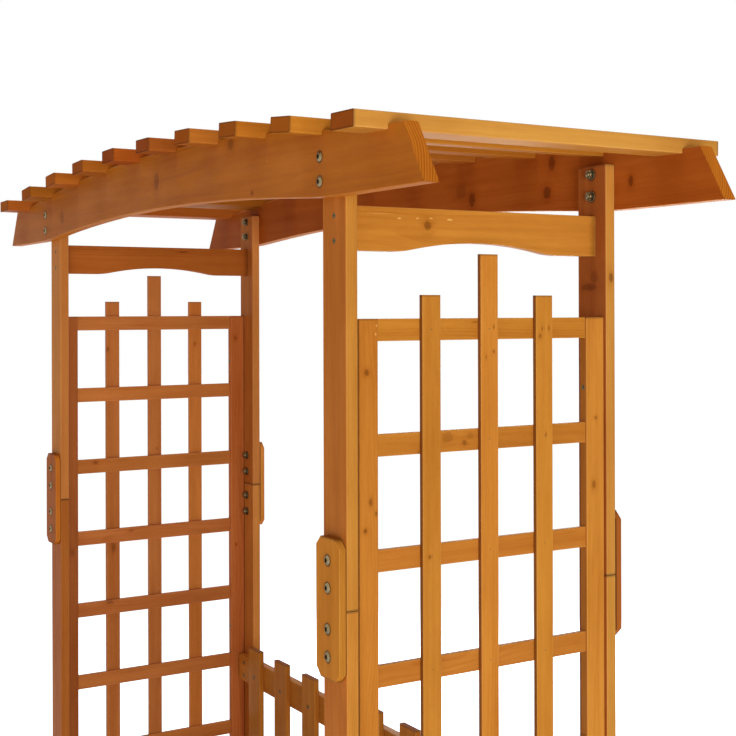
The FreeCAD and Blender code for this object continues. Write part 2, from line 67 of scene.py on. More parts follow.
# Knots and marks that the photo shows, in millimetres: X, Y and Z of the middle, reach along and across
# the grain, and strength. A strength below nought is a light chip, and an empty list is a clear board.
# Boards that aren't named here get knots of their own.
KNOTS = {
    "front_roof_beam": [(27, -268, 1903, 11, 15, 0.55), (348, -268, 1936, 10, 9, 0.55),
        (426, -268, 1852, 3, 3, 0.8), (-526, -268, 1872, 11, 12, 0.45), (478, -268, 1896, 6, 1.2, -0.35)],
    "back_roof_beam": [(521, 245, 1918, 8, 12, 0.75), (508, 245, 1869, 10, 10, 0.8),
        (286, 245, 1873, 9, 12, 0.75), (718, 245, 1871, 5, 8, 0.75), (250, 245, 1890, 16, 12, 0.3)],
    "right_crossrail": [(655.5, -93, 1794, 6, 6.5, 0.7), (655.5, -142, 1803, 4.2, 1.4, -0.8),
        (655.5, -111, 1804, 3, 1.1, -0.7), (655.5, -87, 1805, 4, 1.1, -0.8),
        (655.5, -54, 1804, 5.5, 1.5, -0.85), (655.5, -175, 1809, 24, 0.9, -0.35)],
    "left_crossrail": [(-636.5, 57, 1809, 9, 1.6, 0.55)],
    "right_lattice_stile_front": [(675, -209, 1582, 4.5, 3.5, 0.7), (675, -203, 1399, 5, 2.5, 0.6),
        (675, -194, 1382, 3, 2, 0.6), (675, -212, 1359, 3, 2.5, 0.8), (675, -193, 1648, 2.2, 1.5, -1.0),
        (675, -194, 1636, 2.2, 1.5, -1.0)],
    "right_lattice_stile_back": [(675, 209, 1500, 3, 2.5, 0.55), (675, 205, 1395, 6, 3.5, 0.55)],
    "left_lattice_stile_back": [(-659, 202, 1604, 4, 3, 0.6), (-659, 203, 1101, 3, 2.5, 0.6)],
    "left_lattice_stile_front": [(-659, -204, 1121, 8, 5, 0.35)],
    "left_lattice_upright_front": [(-672, -115, 1582, 5, 3, 0.55), (-672, -102, 1121, 10, 4, 0.55)],
    "left_lattice_upright_back": [(-672, 102, 1591, 4, 3, 0.5)],
    "left_lattice_rails": [(-664, -148, 1322, 5, 3.5, 0.5), (-664, -114, 997, 9, 4, 0.5),
        (-664, -62, 1158, 6, 3.5, 0.35)],
    "right_lattice_upright_front": [(680, -107, 1313, 2.5, 2, 0.6)],
    "right_lattice_upright_middle": [(680, 8, 1645, 2.8, 0.9, 0.8), (680, 8, 1608, 2.5, 2, 0.5),
        (680, -6, 1600, 3, 1.5, 0.4)],
    "right_lattice_upright_back": [(680, 99, 1641, 2.8, 0.9, 0.8), (680, 112, 1642, 2.8, 0.9, 0.9),
        (680, 95, 1630, 4, 3, 0.45), (680, 106, 1479, 3.2, 0.9, 0.8)],
    "right_lattice_rails": [(672, -70, 1484, 9, 7, 0.35), (672, -40, 1474, 4, 3.5, 0.6),
        (672, -30, 1484, 6, 5, 0.25), (672, -120, 1464, 3, 2, 0.4), (672, -20, 1652, 6, 1.4, 0.35)],
    "back_right_post_upper": [(680, 237, 1721, 7, 4, 0.75), (640, 226, 1706, 5, 17, 0.55),
        (652, 226, 1722, 10, 8, 0.35)],
    "front_left_post_upper": [],
    "front_right_post_upper": [],
    "back_left_post_upper": [],
}
# Most knots and most rings round bolts, washers or screws on one board
KNOT_LIMIT = 6
RING_LIMIT = 4

# Colour scale of each piece: brightness, then green and blue against red, and the same once more for its
# faces that look to the open front, which paints light and shade on those faces. The first row whose name a
# piece starts with is its own, so longer names go first.
PLAIN_TONES = ((1.0, 1.0, 1.0), (1.0, 1.0, 1.0))
TONES = (
    ("front_roof_beam", (0.92, 0.86, 0.68), (0.92, 0.93, 0.80)),
    ("back_roof_beam", (1.06, 0.89, 0.72), (0.67, 0.73, 0.80)),
    ("left_lattice_rails", (0.98, 0.86, 1.55), (1.0, 1.0, 1.0)),
    ("left_lattice_upright_back", (1.16, 0.91, 1.50), (1.0, 1.0, 1.0)),
    ("left_lattice_upright", (0.94, 0.89, 1.62), (1.0, 1.0, 1.0)),
    ("left_lattice_stile_front", (0.71, 0.73, 1.38), (1.0, 1.0, 1.0)),
    ("left_lattice_stile_back", (1.00, 0.77, 1.38), (1.0, 1.0, 1.0)),
    ("left_crossrail", (0.75, 0.74, 0.80), (1.0, 1.0, 1.0)),
    ("front_left_splice_plate", (0.98, 0.80, 0.70), (0.79, 0.86, 0.62)),
    ("front_left_post_lower", (0.77, 0.79, 1.12), (1.16, 0.91, 0.75)),
    ("front_left_", (0.90, 0.92, 1.58), (1.30, 1.04, 0.78)),
    ("back_left_splice_plate", (1.34, 1.02, 1.50), (1.0, 1.0, 1.0)),
    ("back_left_post_lower", (1.27, 1.06, 1.84), (0.80, 0.93, 0.82)),
    ("back_left_", (1.12, 0.97, 1.90), (0.77, 0.89, 0.72)),
    ("front_right_splice_plate", (0.94, 1.07, 1.04), (1.31, 0.93, 0.73)),
    ("front_right_", (1.0, 1.07, 1.25), (1.05, 0.77, 0.68)),
    ("back_right_splice_plate", (0.71, 0.74, 0.95), (0.75, 0.80, 0.85)),
    ("back_right_", (1.05, 1.15, 1.58), (0.61, 0.62, 0.66)),
    ("right_lattice_stile_front", (0.92, 0.98, 0.92), (0.8, 0.9, 1.0)),
    ("right_lattice_stile_back", (1.10, 1.03, 1.10), (0.7, 0.9, 1.0)),
    ("right_crossrail", (0.93, 1.05, 1.05), (1.0, 1.0, 1.0)),
    ("right_lattice_rails", (0.94, 0.98, 1.00), (1.0, 1.0, 1.0)),
    ("right_lattice_upright", (1.03, 1.02, 1.05), (0.47, 0.84, 1.00)),
    ("roof_slat_01", (0.87, 0.73, 0.75), (1.58, 1.48, 1.38)),
    ("roof_slat_02", (0.74, 0.80, 0.64), (1.76, 1.16, 1.35)),
    ("roof_slat_03", (0.85, 0.73, 0.59), (1.62, 1.29, 1.11)),
    ("roof_slat_04", (0.78, 0.80, 0.65), (1.43, 1.14, 1.18)),
    ("roof_slat_05", (0.71, 0.58, 0.49), (1.24, 1.33, 1.23)),
    ("roof_slat_06", (0.69, 0.69, 0.73), (1.35, 1.18, 1.37)),
    ("roof_slat_07", (0.92, 0.85, 0.86), (1.27, 1.14, 0.70)),
    ("roof_slat_08", (0.88, 0.88, 0.58), (1.23, 1.15, 1.09)),
    ("roof_slat_09", (1.04, 0.96, 0.77), (1.31, 1.09, 1.22)),
    ("roof_slat_10", (1.04, 1.20, 1.72), (0.96, 0.77, 0.56)),
)

# Dark seams against the next piece, partly pooled stain and partly painted shade between the parts: side
# across the board, side through it (both told from front to back) and width in metres
SEAMS = {
    "right_lattice_stile_front": (-1, 0, 0.0042),
    "left_lattice_stile_front": (-1, 0, 0.0020), "left_lattice_stile_back": (1, 0, 0.0020),
    "front_right_splice_plate": (0, 1, 0.0016), "front_left_splice_plate": (0, 1, 0.0016),
    "back_right_splice_plate": (0, -1, 0.0016), "back_left_splice_plate": (0, -1, 0.0016),
}


class Shader:
    """A material, with short calls that add its nodes."""

    def __init__(self, name):
        self.material = bpy.data.materials.new(name)
        self.material.use_nodes = True
        self.tree = self.material.node_tree
        self.tree.nodes.clear()

    def feed(self, socket, value):
        if isinstance(value, bpy.types.NodeSocket):
            self.tree.links.new(value, socket)
        else:
            socket.default_value = value

    def add(self, kind, inputs=None, **settings):
        node = self.tree.nodes.new(kind)
        for key, value in settings.items():
            setattr(node, key, value)
        for key, value in (inputs or {}).items():
            self.feed(node.inputs[key], value)
        return node

    def math(self, operation, *values, clamp=False):
        node = self.add("ShaderNodeMath", operation=operation, use_clamp=clamp)
        for socket, value in zip(node.inputs, values):
            self.feed(socket, value)
        return node.outputs[0]

    def vector(self, operation, *values):
        node = self.add("ShaderNodeVectorMath", operation=operation)
        for socket, value in zip(node.inputs, values):
            self.feed(socket, value)
        return node.outputs["Value" if operation == "LENGTH" else "Vector"]

    def split(self, vector):
        return self.add("ShaderNodeSeparateXYZ", {"Vector": vector}).outputs

    def join(self, x, y, z):
        return self.add("ShaderNodeCombineXYZ", {"X": x, "Y": y, "Z": z}).outputs[0]

    def attribute(self, name):
        return self.add("ShaderNodeAttribute", attribute_name=name, attribute_type="GEOMETRY").outputs

    def noise(self, vector, detail=2.0, roughness=0.5):
        inputs = {"Vector": vector, "Scale": 1.0, "Detail": detail, "Roughness": roughness}
        return self.add("ShaderNodeTexNoise", inputs, noise_dimensions="3D").outputs["Fac"]

    def rest(self, share):
        """What is left of one."""
        return self.math("SUBTRACT", 1.0, share)

    def step(self, value, low, high):
        """Nought below low, one above high, smooth between."""
        inputs = {"Value": value, "From Min": low, "From Max": high, "To Min": 0.0, "To Max": 1.0}
        node = self.add("ShaderNodeMapRange", inputs, interpolation_type="SMOOTHSTEP", clamp=True)
        return node.outputs[0]

    def mix(self, share, a, b, blend="MIX"):
        node = self.add("ShaderNodeMix", data_type="RGBA", blend_type=blend)
        for socket, value in ((node.inputs[0], share), (node.inputs[6], a), (node.inputs[7], b)):
            self.feed(socket, value)
        return node.outputs[2]

    def finish(self, shader):
        self.add("ShaderNodeOutputMaterial", {"Surface": shader})
        return self.material


# Stained softwood. Each board carries its own coordinates: along the grain, across its width and through it.

# Fineness of the grain's features in cycles a metre, the same three ways
GRAIN = {
    "ragged": (260.0, 260.0, 260.0), "wander": (1.7, 6.0, 6.0), "ripple": (9.0, 30.0, 30.0),
    "shown": (1.3, 24.0, 24.0), "fibres": (34.0, 600.0, 600.0), "dashes": (70.0, 1500.0, 1500.0),
    "streaks": (2.4, 60.0, 60.0), "blotches": (5.0, 15.0, 15.0), "worn": (30.0, 90.0, 90.0),
}
# How far each feature pulls the colour from pale to deep
PALE_TO_DEEP = {
    "rings": 0.24, "fibres": 0.36, "streaks": 1.05, "blotches": 0.85, "dashes": 0.08, "halo": 0.75,
}
COMMON_DEPTH = 0.30
# How dark the stain and the painted shade at ends, seams and heads, and the knots are, and how light the long
# edges, partly by wear and partly as a painted highlight
END_STAIN_AND_SHADE = 0.45
SEAM_STAIN_AND_SHADE = 0.70
HEAD_STAIN_AND_SHADE = 0.70
HEAD_SMEAR_AND_SHADE = 0.12
KNOT_CORE = 0.66
KNOT_OUTLINE = 0.50
EDGE_WEAR_AND_HIGHLIGHT = 0.16
# Narrowest growth ring in metres, and how much wider it may be
RING_WIDTH = 0.0024
RING_SPREAD = 0.0016
# Heights of the relief in metres
FIBRE_RELIEF = 0.00010
RING_RELIEF = 0.00006
DASH_RELIEF = -0.00008
KNOT_RELIEF = 0.00010


def stained_wood(name, pale, deep, knot_colour, raw):
    s = Shader(name)
    at = s.attribute("wood_at")["Vector"]
    rim = s.attribute("wood_rim")["Vector"]
    half = s.attribute("wood_half")["Vector"]
    seed = s.attribute("wood_seed")["Vector"]
    tone = s.split(s.attribute("wood_tone_and_front_light")["Vector"])
    end = s.attribute("wood_end")["Fac"]
    along, across, through = s.split(at)
    seeds = s.split(seed)
    own = s.vector("ADD", at, s.vector("MULTIPLY", seed, (17.0, 11.0, 7.0)))

    def grain(feature, detail, roughness=0.5):
        return s.noise(s.vector("MULTIPLY", own, GRAIN[feature]), detail, roughness)

    # Knots push the rings aside. Chips are marks of the same kind, but light.
    bulge = 0.0
    core = 0.0
    outline = 0.0
    halo = 0.0
    chip = 0.0
    ragged = s.math("MULTIPLY", s.math("SUBTRACT", grain("ragged", 2.0), 0.5), 0.9)
    for k in range(KNOT_LIMIT):
        place = s.attribute("wood_knot_%d" % (k + 1))["Vector"]
        reach_along, reach_across, force = s.split(s.attribute("wood_reach_%d" % (k + 1))["Vector"])
        reaches = s.join(reach_along, reach_across, reach_across)
        share = s.vector("LENGTH", s.vector("DIVIDE", s.vector("SUBTRACT", at, place), reaches))
        near = s.math("ADD", share, ragged)
        dark = s.math("MAXIMUM", force, 0.0)
        inside = s.rest(s.step(near, 0.55, 1.10))
        ring = s.rest(s.step(s.math("ABSOLUTE", s.math("SUBTRACT", near, 0.86)), 0.0, 0.34))
        heart = s.math("EXPONENT", s.math("MULTIPLY", s.math("MULTIPLY", near, near), -5.0))
        waves = s.math("MULTIPLY_ADD", s.math("SINE", s.math("MULTIPLY", near, 16.0)), 0.10, 0.80)
        inside = s.math("MULTIPLY", inside, waves)
        inside = s.math("MULTIPLY_ADD", heart, 0.35, inside)
        fall = s.math("EXPONENT", s.math("MULTIPLY", s.math("MULTIPLY", share, share), -0.30))
        core = s.math("MAXIMUM", core, s.math("MULTIPLY", inside, dark))
        outline = s.math("MAXIMUM", outline, s.math("MULTIPLY", ring, dark))
        halo = s.math("MAXIMUM", halo, s.math("MULTIPLY", fall, dark))
        chip = s.math("MAXIMUM", chip, s.math("MULTIPLY", inside, s.math("MULTIPLY", force, -1.0)))
        push = s.math("MULTIPLY", fall, dark)
        bulge = s.math("MULTIPLY_ADD", push, s.math("MULTIPLY", reach_across, 0.8), bulge)

    # Growth rings about a pith that lies beyond the board
    pith_across = s.math("MULTIPLY", s.math("SUBTRACT", seeds["X"], 0.5), 0.09)
    pith_through = s.math("MULTIPLY_ADD", seeds["Y"], 0.055, 0.028)
    wander = grain("wander", 2.0)
    ripple = grain("ripple", 1.0)
    side = s.math("SUBTRACT", across, pith_across)
    depth = s.math("ADD", through, pith_through)
    radius = s.math("SQRT", s.math("ADD", s.math("MULTIPLY", side, side), s.math("MULTIPLY", depth, depth)))
    radius = s.math("ADD", radius, s.math("MULTIPLY_ADD", wander, 0.030, s.math("MULTIPLY", ripple, 0.0022)))
    radius = s.math("ADD", radius, bulge)
    years = s.math("DIVIDE", radius, s.math("MULTIPLY_ADD", seeds["Z"], RING_SPREAD, RING_WIDTH))
    year = s.math("FRACT", years)
    late = s.math("MULTIPLY", s.step(year, 0.30, 0.90), s.rest(s.step(year, 0.93, 1.0)))
    number = s.math("ADD", s.math("FLOOR", years), s.math("MULTIPLY", seeds["X"], 57.0))
    strength = s.add("ShaderNodeTexWhiteNoise", {"W": number}, noise_dimensions="1D").outputs["Value"]
    rings = s.math("MULTIPLY", late, s.math("MULTIPLY_ADD", strength, 0.65, 0.35))
    shown = s.step(grain("shown", 1.0), 0.38, 0.66)

    # Fibres, dark dashes and the blotches of the stain
    fibres = grain("fibres", 3.0, 0.62)
    dashes = s.step(grain("dashes", 1.0), 0.66, 0.74)
    streaks = grain("streaks", 3.0, 0.55)
    blotches = grain("blotches", 3.0, 0.6)

    plain_rings = s.math("MULTIPLY", rings, s.math("MULTIPLY_ADD", shown, 0.8, 0.2))
    share = s.math("MULTIPLY", plain_rings, PALE_TO_DEEP["rings"])
    for word, feature in (("fibres", fibres), ("streaks", streaks), ("blotches", blotches)):
        share = s.math("MULTIPLY_ADD", s.math("SUBTRACT", feature, 0.5), PALE_TO_DEEP[word], share)
    for word, feature in (("dashes", dashes), ("halo", halo)):
        share = s.math("MULTIPLY_ADD", feature, PALE_TO_DEEP[word], share)
    share = s.math("ADD", share, COMMON_DEPTH, clamp=True)
    colour = s.mix(share, pale, deep)

    # Cut ends show the rings plainly. Some drink more stain and go dark.
    end_contrast, end_rim, end_reach = s.split(s.attribute("wood_cut")["Vector"])
    end_tint = s.attribute("wood_cut_tint")["Vector"]
    end_deep = s.vector("MULTIPLY", end_tint, (0.60, 0.45, 0.30))
    end_clouds = s.math("MULTIPLY", s.math("SUBTRACT", blotches, 0.5), 0.5)
    end_share = s.math("MULTIPLY_ADD", rings, end_contrast, end_clouds)
    colour = s.mix(end, colour, s.mix(s.math("ADD", end_share, 0.08, clamp=True), end_tint, end_deep))

    # Nearness to an edge: the second smallest of the distances to the board's six faces
    gaps = s.split(s.vector("SUBTRACT", half, s.vector("ABSOLUTE", rim)))
    low = s.math("MINIMUM", gaps["X"], gaps["Y"])
    high = s.math("MAXIMUM", gaps["X"], gaps["Y"])
    edge = s.math("MAXIMUM", low, s.math("MINIMUM", high, gaps["Z"]))
    worn = grain("worn", 3.0, 0.6)
    edge_share = s.rest(s.step(edge, 0.0004, s.math("MULTIPLY_ADD", worn, 0.0040, 0.0006)))
    # Long edges go towards raw wood: partly wear, partly a painted highlight along the arris
    worn_and_lit_edge = s.math("MULTIPLY", edge_share, s.rest(end))
    colour = s.mix(s.math("MULTIPLY", worn_and_lit_edge, EDGE_WEAR_AND_HIGHLIGHT), colour, raw)
    cut_rim = s.math("MULTIPLY", s.rest(s.step(edge, 0.0006, 0.0028)), end)
    colour = s.mix(s.math("MULTIPLY", cut_rim, end_rim), colour, knot_colour)

    # Darker at the board's ends, in the seams against other pieces, and round heads and washers: partly stain
    # that gathers there, partly painted shade where the pieces meet
    # Darker near the ends: partly stain, partly painted shade where the end meets the next piece
    to_end = s.math("SUBTRACT", s.split(half)["X"], s.math("ABSOLUTE", along))
    end_line = s.rest(s.step(to_end, 0.0008, s.math("MULTIPLY_ADD", worn, end_reach, end_reach)))
    end_line = s.math("MULTIPLY", end_line, s.rest(end))
    # Seam darkening: partly pooled stain, partly painted shade where the boards meet
    seam_across, seam_through, seam_width = s.split(s.attribute("wood_seam")["Vector"])
    seam_gap = s.math("SUBTRACT", s.split(half)["Y"], s.math("MULTIPLY", across, seam_across))
    other_gap = s.math("SUBTRACT", s.split(half)["Z"], s.math("MULTIPLY", through, seam_through))
    seam_gap = s.math("MINIMUM", seam_gap, other_gap)
    seam_limit = s.math("MULTIPLY", seam_width, s.math("MULTIPLY_ADD", worn, 0.5, 0.9))
    seam = s.math("LESS_THAN", s.math("SUBTRACT", seam_gap, seam_limit), 0.0)
    stain_and_shade = s.math("MAXIMUM", s.math("MULTIPLY", end_line, END_STAIN_AND_SHADE), s.math("MULTIPLY", seam, SEAM_STAIN_AND_SHADE))
    # Dark rings round heads and washers: partly stain, partly painted contact shade
    for k in range(RING_LIMIT):
        ring_along, ring_across, ring_radius = s.split(s.attribute("wood_ring_%d" % (k + 1))["Vector"])
        aside = s.join(s.math("SUBTRACT", along, ring_along), s.math("SUBTRACT", across, ring_across), 0.0)
        share = s.math("DIVIDE", s.vector("LENGTH", aside), s.math("MAXIMUM", ring_radius, 0.0001))
        mark = s.rest(s.step(share, 1.08, 1.20))
        smear = s.rest(s.step(share, 1.0, 1.9))
        mark = s.math("MULTIPLY_ADD", smear, HEAD_SMEAR_AND_SHADE, s.math("MULTIPLY", mark, HEAD_STAIN_AND_SHADE))
        stain_and_shade = s.math("MAXIMUM", stain_and_shade, mark)
    colour = s.mix(stain_and_shade, colour, knot_colour)

    colour = s.mix(s.math("MULTIPLY", core, KNOT_CORE), colour, knot_colour)
    colour = s.mix(s.math("MULTIPLY", outline, KNOT_OUTLINE), colour, knot_colour)
    colour = s.mix(chip, colour, raw)
    # The tone scales the colour; on faces that look to the front it carries painted light and shade
    green, blue = (s.math("MULTIPLY", tone["X"], tone[part]) for part in ("Y", "Z"))
    scale = s.join(tone["X"], green, blue)
    colour = s.mix(1.0, colour, scale, "MULTIPLY")

    rough = s.math("MULTIPLY_ADD", blotches, 0.20, 0.38)
    rough = s.math("MULTIPLY_ADD", end, 0.18, rough)
    rough = s.math("MULTIPLY_ADD", rings, -0.06, rough)
    relief = s.math("MULTIPLY_ADD", fibres, FIBRE_RELIEF, s.math("MULTIPLY", rings, RING_RELIEF))
    relief = s.math("MULTIPLY_ADD", dashes, DASH_RELIEF, relief)
    relief = s.math("MULTIPLY_ADD", core, KNOT_RELIEF, relief)
    bump = s.add("ShaderNodeBump", {"Height": relief, "Strength": 1.0, "Distance": 1.0}).outputs[0]
    surface = s.add("ShaderNodeBsdfPrincipled", {"Base Color": colour, "Roughness": rough, "Normal": bump,
                                                 "IOR": 1.45, "Specular IOR Level": 0.05})
    return s.finish(surface.outputs[0])


def plated_metal(name, bright, dull, grime_and_shade):
    """Worn plating. A darkness attribute marks recesses and rims: partly dirt, partly painted shade in the
    hollows and where heads meet the wood.
    """
    s = Shader(name)
    spot = s.add("ShaderNodeTexCoord").outputs["Object"]
    dark = s.attribute("metal_dirt_and_shade")["Fac"]
    cloud = s.noise(s.vector("MULTIPLY", spot, (300.0, 300.0, 300.0)), 3.0, 0.6)
    scratch = s.noise(s.vector("MULTIPLY", spot, (900.0, 900.0, 2600.0)), 2.0)
    colour = s.mix(s.step(cloud, 0.30, 0.72), bright, dull)
    # Darkened towards the grime colour by the darkness attribute: partly dirt, partly painted shade
    dirt_and_shade = s.step(s.math("MULTIPLY_ADD", cloud, 0.2, s.math("SUBTRACT", dark, 0.1)), 0.0, 1.0)
    colour = s.mix(dirt_and_shade, colour, grime_and_shade)
    rough = s.math("MULTIPLY_ADD", cloud, 0.20, 0.26)
    rough = s.math("MULTIPLY_ADD", dark, 0.35, rough)
    height = s.math("MULTIPLY", s.math("ADD", cloud, scratch), 0.00003)
    bump = s.add("ShaderNodeBump", {"Height": height, "Strength": 1.0, "Distance": 1.0}).outputs[0]
    surface = s.add("ShaderNodeBsdfPrincipled", {"Base Color": colour, "Roughness": rough, "Normal": bump,
                                                 "Metallic": 1.0})
    return s.finish(surface.outputs[0])


wood = stained_wood("stained_softwood", (0.600, 0.254, 0.041, 1), (0.385, 0.122, 0.0125, 1),
                    (0.070, 0.024, 0.006, 1), (0.780, 0.460, 0.150, 1))
zinc = plated_metal("zinc_plating", (0.33, 0.26, 0.14, 1), (0.18, 0.135, 0.065, 1), (0.030, 0.022, 0.012, 1))
screw_zinc = plated_metal("screw_plating", (0.24, 0.17, 0.075, 1), (0.13, 0.09, 0.035, 1),
                          (0.030, 0.022, 0.012, 1))


# Meshes of the solids. Lengths in metres, angles in radians.

WELD = 1e-6
FLAT = 0.01
FASTENER_CREASE = math.radians(38)
BOARD_CREASE = math.radians(40)


def clean_mesh(node):
    """The solid's mesh as one welded surface with flat faces joined up."""
    bm = bmesh.new()
    bm.from_mesh(node.data)
    bmesh.ops.remove_doubles(bm, verts=bm.verts, dist=WELD)
    bmesh.ops.dissolve_limit(bm, angle_limit=FLAT, verts=bm.verts, edges=bm.edges, delimit=set())
    return bm


def islands(bm):
    """The faces of each separate solid, in the mesh's own order, so that every run draws the same boards."""
    bm.faces.index_update()
    left = set(bm.faces)
    found = []
    for first in bm.faces:
        if first not in left:
            continue
        left.remove(first)
        queue = [first]
        group = [first]
        while queue:
            for edge in queue.pop().edges:
                for face in edge.link_faces:
                    if face in left:
                        left.remove(face)
                        queue.append(face)
                        group.append(face)
        found.append(sorted(group, key=lambda f: f.index))
    return found


# Fasteners, drawn along +Z from the surface that the head sits on, in metres

BOLT_HEAD = 0.008
BOLT_RISE = 0.0042
BOLT_SHANK = 0.004
BOLT_SOCKET = 0.006
SOCKET_DEPTH = 0.0026
THREAD_PITCH = 0.00125
THREAD_DEPTH = 0.0005
THREAD_RUN = 0.014
# Rings to one turn of thread, and over how many the groove fades in at the start and out at the end
RINGS_A_TURN = 8
FADE_IN = 8
FADE_OUT = 6
SCREW_HEAD = 0.0042
SCREW_NECK = 0.0021
SCREW_SINK = 0.0024
WASHER_OUTER = 0.0085
WASHER_BORE = 0.00425
WASHER_THICKNESS = 0.0015
NUT_FLATS = 0.013
NUT_HEIGHT = 0.0065
NUT_BORE = 0.0041
# Sides of a drawn round, and fewest sides of a screw head's disc in the solid
ROUND = 48
DISC_SIDES = 9


def hexagonal(across_flats):
    """Distance from the middle to the side of a hexagon, by angle, with a corner at nought."""
    return lambda angle: across_flats / 2 / math.cos((angle % (math.pi / 3)) - math.pi / 6)


def crossed(length, half_width):
    """Distance from the middle to the outline of a cross, by angle."""
    def reach(angle):
        off_arm = abs((angle + math.pi / 4) % (math.pi / 2) - math.pi / 4)
        return min(length / math.cos(off_arm), half_width / max(math.sin(off_arm), 1e-4))
    return reach


def turned(rows, looped=False):
    """Rings of (radius, height, darkness) joined up. A radius may be a function of the angle."""
    verts, shades, faces, rings = [], [], [], []
    for radius, height, shade in rows:
        ring = []
        for k in range(1 if radius == 0 else ROUND):
            angle = 2 * math.pi * k / ROUND
            reach = radius(angle) if callable(radius) else radius
            ring.append(len(verts))
            verts.append(Vector((reach * math.cos(angle), reach * math.sin(angle), height)))
            shades.append(shade)
        rings.append(ring * ROUND if radius == 0 else ring)
    following = rings[1:] + (rings[:1] if looped else [])
    for ring, after in zip(rings, following):
        for k in range(ROUND):
            n = (k + 1) % ROUND
            corners = list(dict.fromkeys((ring[k], ring[n], after[n], after[k])))
            if len(corners) > 2:
                faces.append(corners)
    return verts, shades, faces


def thread_rows(start, stop):
    """Rings whose radius follows a helical groove."""
    rows = []
    steps = round((stop - start) / THREAD_PITCH * RINGS_A_TURN)
    for k in range(steps + 1):
        z = start + (stop - start) * k / steps
        fade = min(1.0, k / FADE_IN, (steps - k) / FADE_OUT + 0.25)

        def radius(angle, z=z, fade=fade):
            phase = (z / THREAD_PITCH - angle / (2 * math.pi)) % 1.0
            return BOLT_SHANK - THREAD_DEPTH * fade * (1 - abs(2 * phase - 1)) ** 0.8
        rows.append((radius, z, 0.25))
    return rows


def domed_bolt(length):
    dome = (BOLT_HEAD ** 2 + BOLT_RISE ** 2) / (2 * BOLT_RISE)
    socket = hexagonal(BOLT_SOCKET)
    lip = hexagonal(BOLT_SOCKET * 1.07)

    def crown(radius):
        return -(math.sqrt(dome ** 2 - radius ** 2) - (dome - BOLT_RISE))

    floor_z = -BOLT_RISE + SOCKET_DEPTH
    # The darkness paints shade into the socket and round the rim where the head meets the wood, and darkens
    # the thread a little
    rows = [(0, floor_z + 0.0006, 1.0), (socket, floor_z, 1.0), (socket, crown(0.0035) + 0.0004, 0.95),
            (lip, crown(0.0036), 0.55)]
    for share, shade in ((0.56, 0.10), (0.66, 0.0), (0.76, 0.0), (0.86, 0.15), (0.93, 0.55), (0.98, 0.95)):
        rows.append((BOLT_HEAD * share, crown(BOLT_HEAD * share), shade))
    rows += [(BOLT_HEAD, -0.00005, 1.0), (BOLT_HEAD, 0.0, 1.0), (BOLT_SHANK, 0.0, 1.0)]
    rows += thread_rows(length - THREAD_RUN, length - 0.0006)
    rows += [(BOLT_SHANK - 0.0009, length, 0.2), (0, length, 0.0)]
    return turned(rows)


def cross_screw(length):
    slot = crossed(0.0020, 0.00045)
    wide = crossed(0.0022, 0.00055)
    # The darkness paints shade into the cross recess and round the rim of the head
    rows = [(0, 0.0017, 1.0), (crossed(0.0010, 0.0004), 0.0015, 1.0), (slot, 0.0005, 0.9),
            (wide, 0.00022, 0.6), (0.0027, 0.0002, 0.05), (0.0034, 0.0002, 0.1), (0.0038, 0.0003, 0.6),
            (SCREW_HEAD - 0.0001, 0.0001, 1.0), (SCREW_HEAD, 0.0, 1.0), (SCREW_NECK, SCREW_SINK, 0.5),
            (SCREW_NECK, length - 0.0042, 0.3), (0.0005, length, 0.3), (0, length, 0.3)]
    return turned(rows)


def flat_washer():
    edge = 0.0003
    outer, inner, top = WASHER_OUTER, WASHER_BORE, WASHER_THICKNESS
    # The darkness paints shade at the bore and the lower edge, and a dark ring next to the nut
    rows = [(inner, edge, 0.9), (inner + edge, 0.0, 0.9), (outer - edge, 0.0, 1.0), (outer, edge, 0.8),
            (outer, top - edge, 0.25), (outer - edge, top, 0.0), (0.0076, top, 0.05), (0.0070, top, 0.7),
            (inner + edge, top, 0.8), (inner, top - edge, 1.0)]
    return turned(rows, looped=True)


def chamfered_nut():
    flats = hexagonal(NUT_FLATS)
    corner = NUT_FLATS / math.sqrt(3)
    bevel = corner - NUT_FLATS / 2
    # The darkness paints shade in the bore and along the foot of the flats
    rows = [(NUT_BORE, 0.0003, 1.0), (NUT_BORE + 0.0004, 0.0, 1.0), (flats, 0.0, 0.9),
            (flats, NUT_HEIGHT - bevel, 0.15)]
    for share in (0.25, 0.5, 0.75, 1.0):
        def reach(angle, limit=corner - bevel * share):
            return min(flats(angle), limit)
        rows.append((reach, NUT_HEIGHT - bevel * (1 - share), 0.05))
    rows += [(NUT_BORE + 0.0009, NUT_HEIGHT, 0.1), (NUT_BORE + 0.0005, NUT_HEIGHT - 0.0002, 0.9),
             (NUT_BORE, NUT_HEIGHT - 0.0006, 1.0)]
    return turned(rows, looped=True)


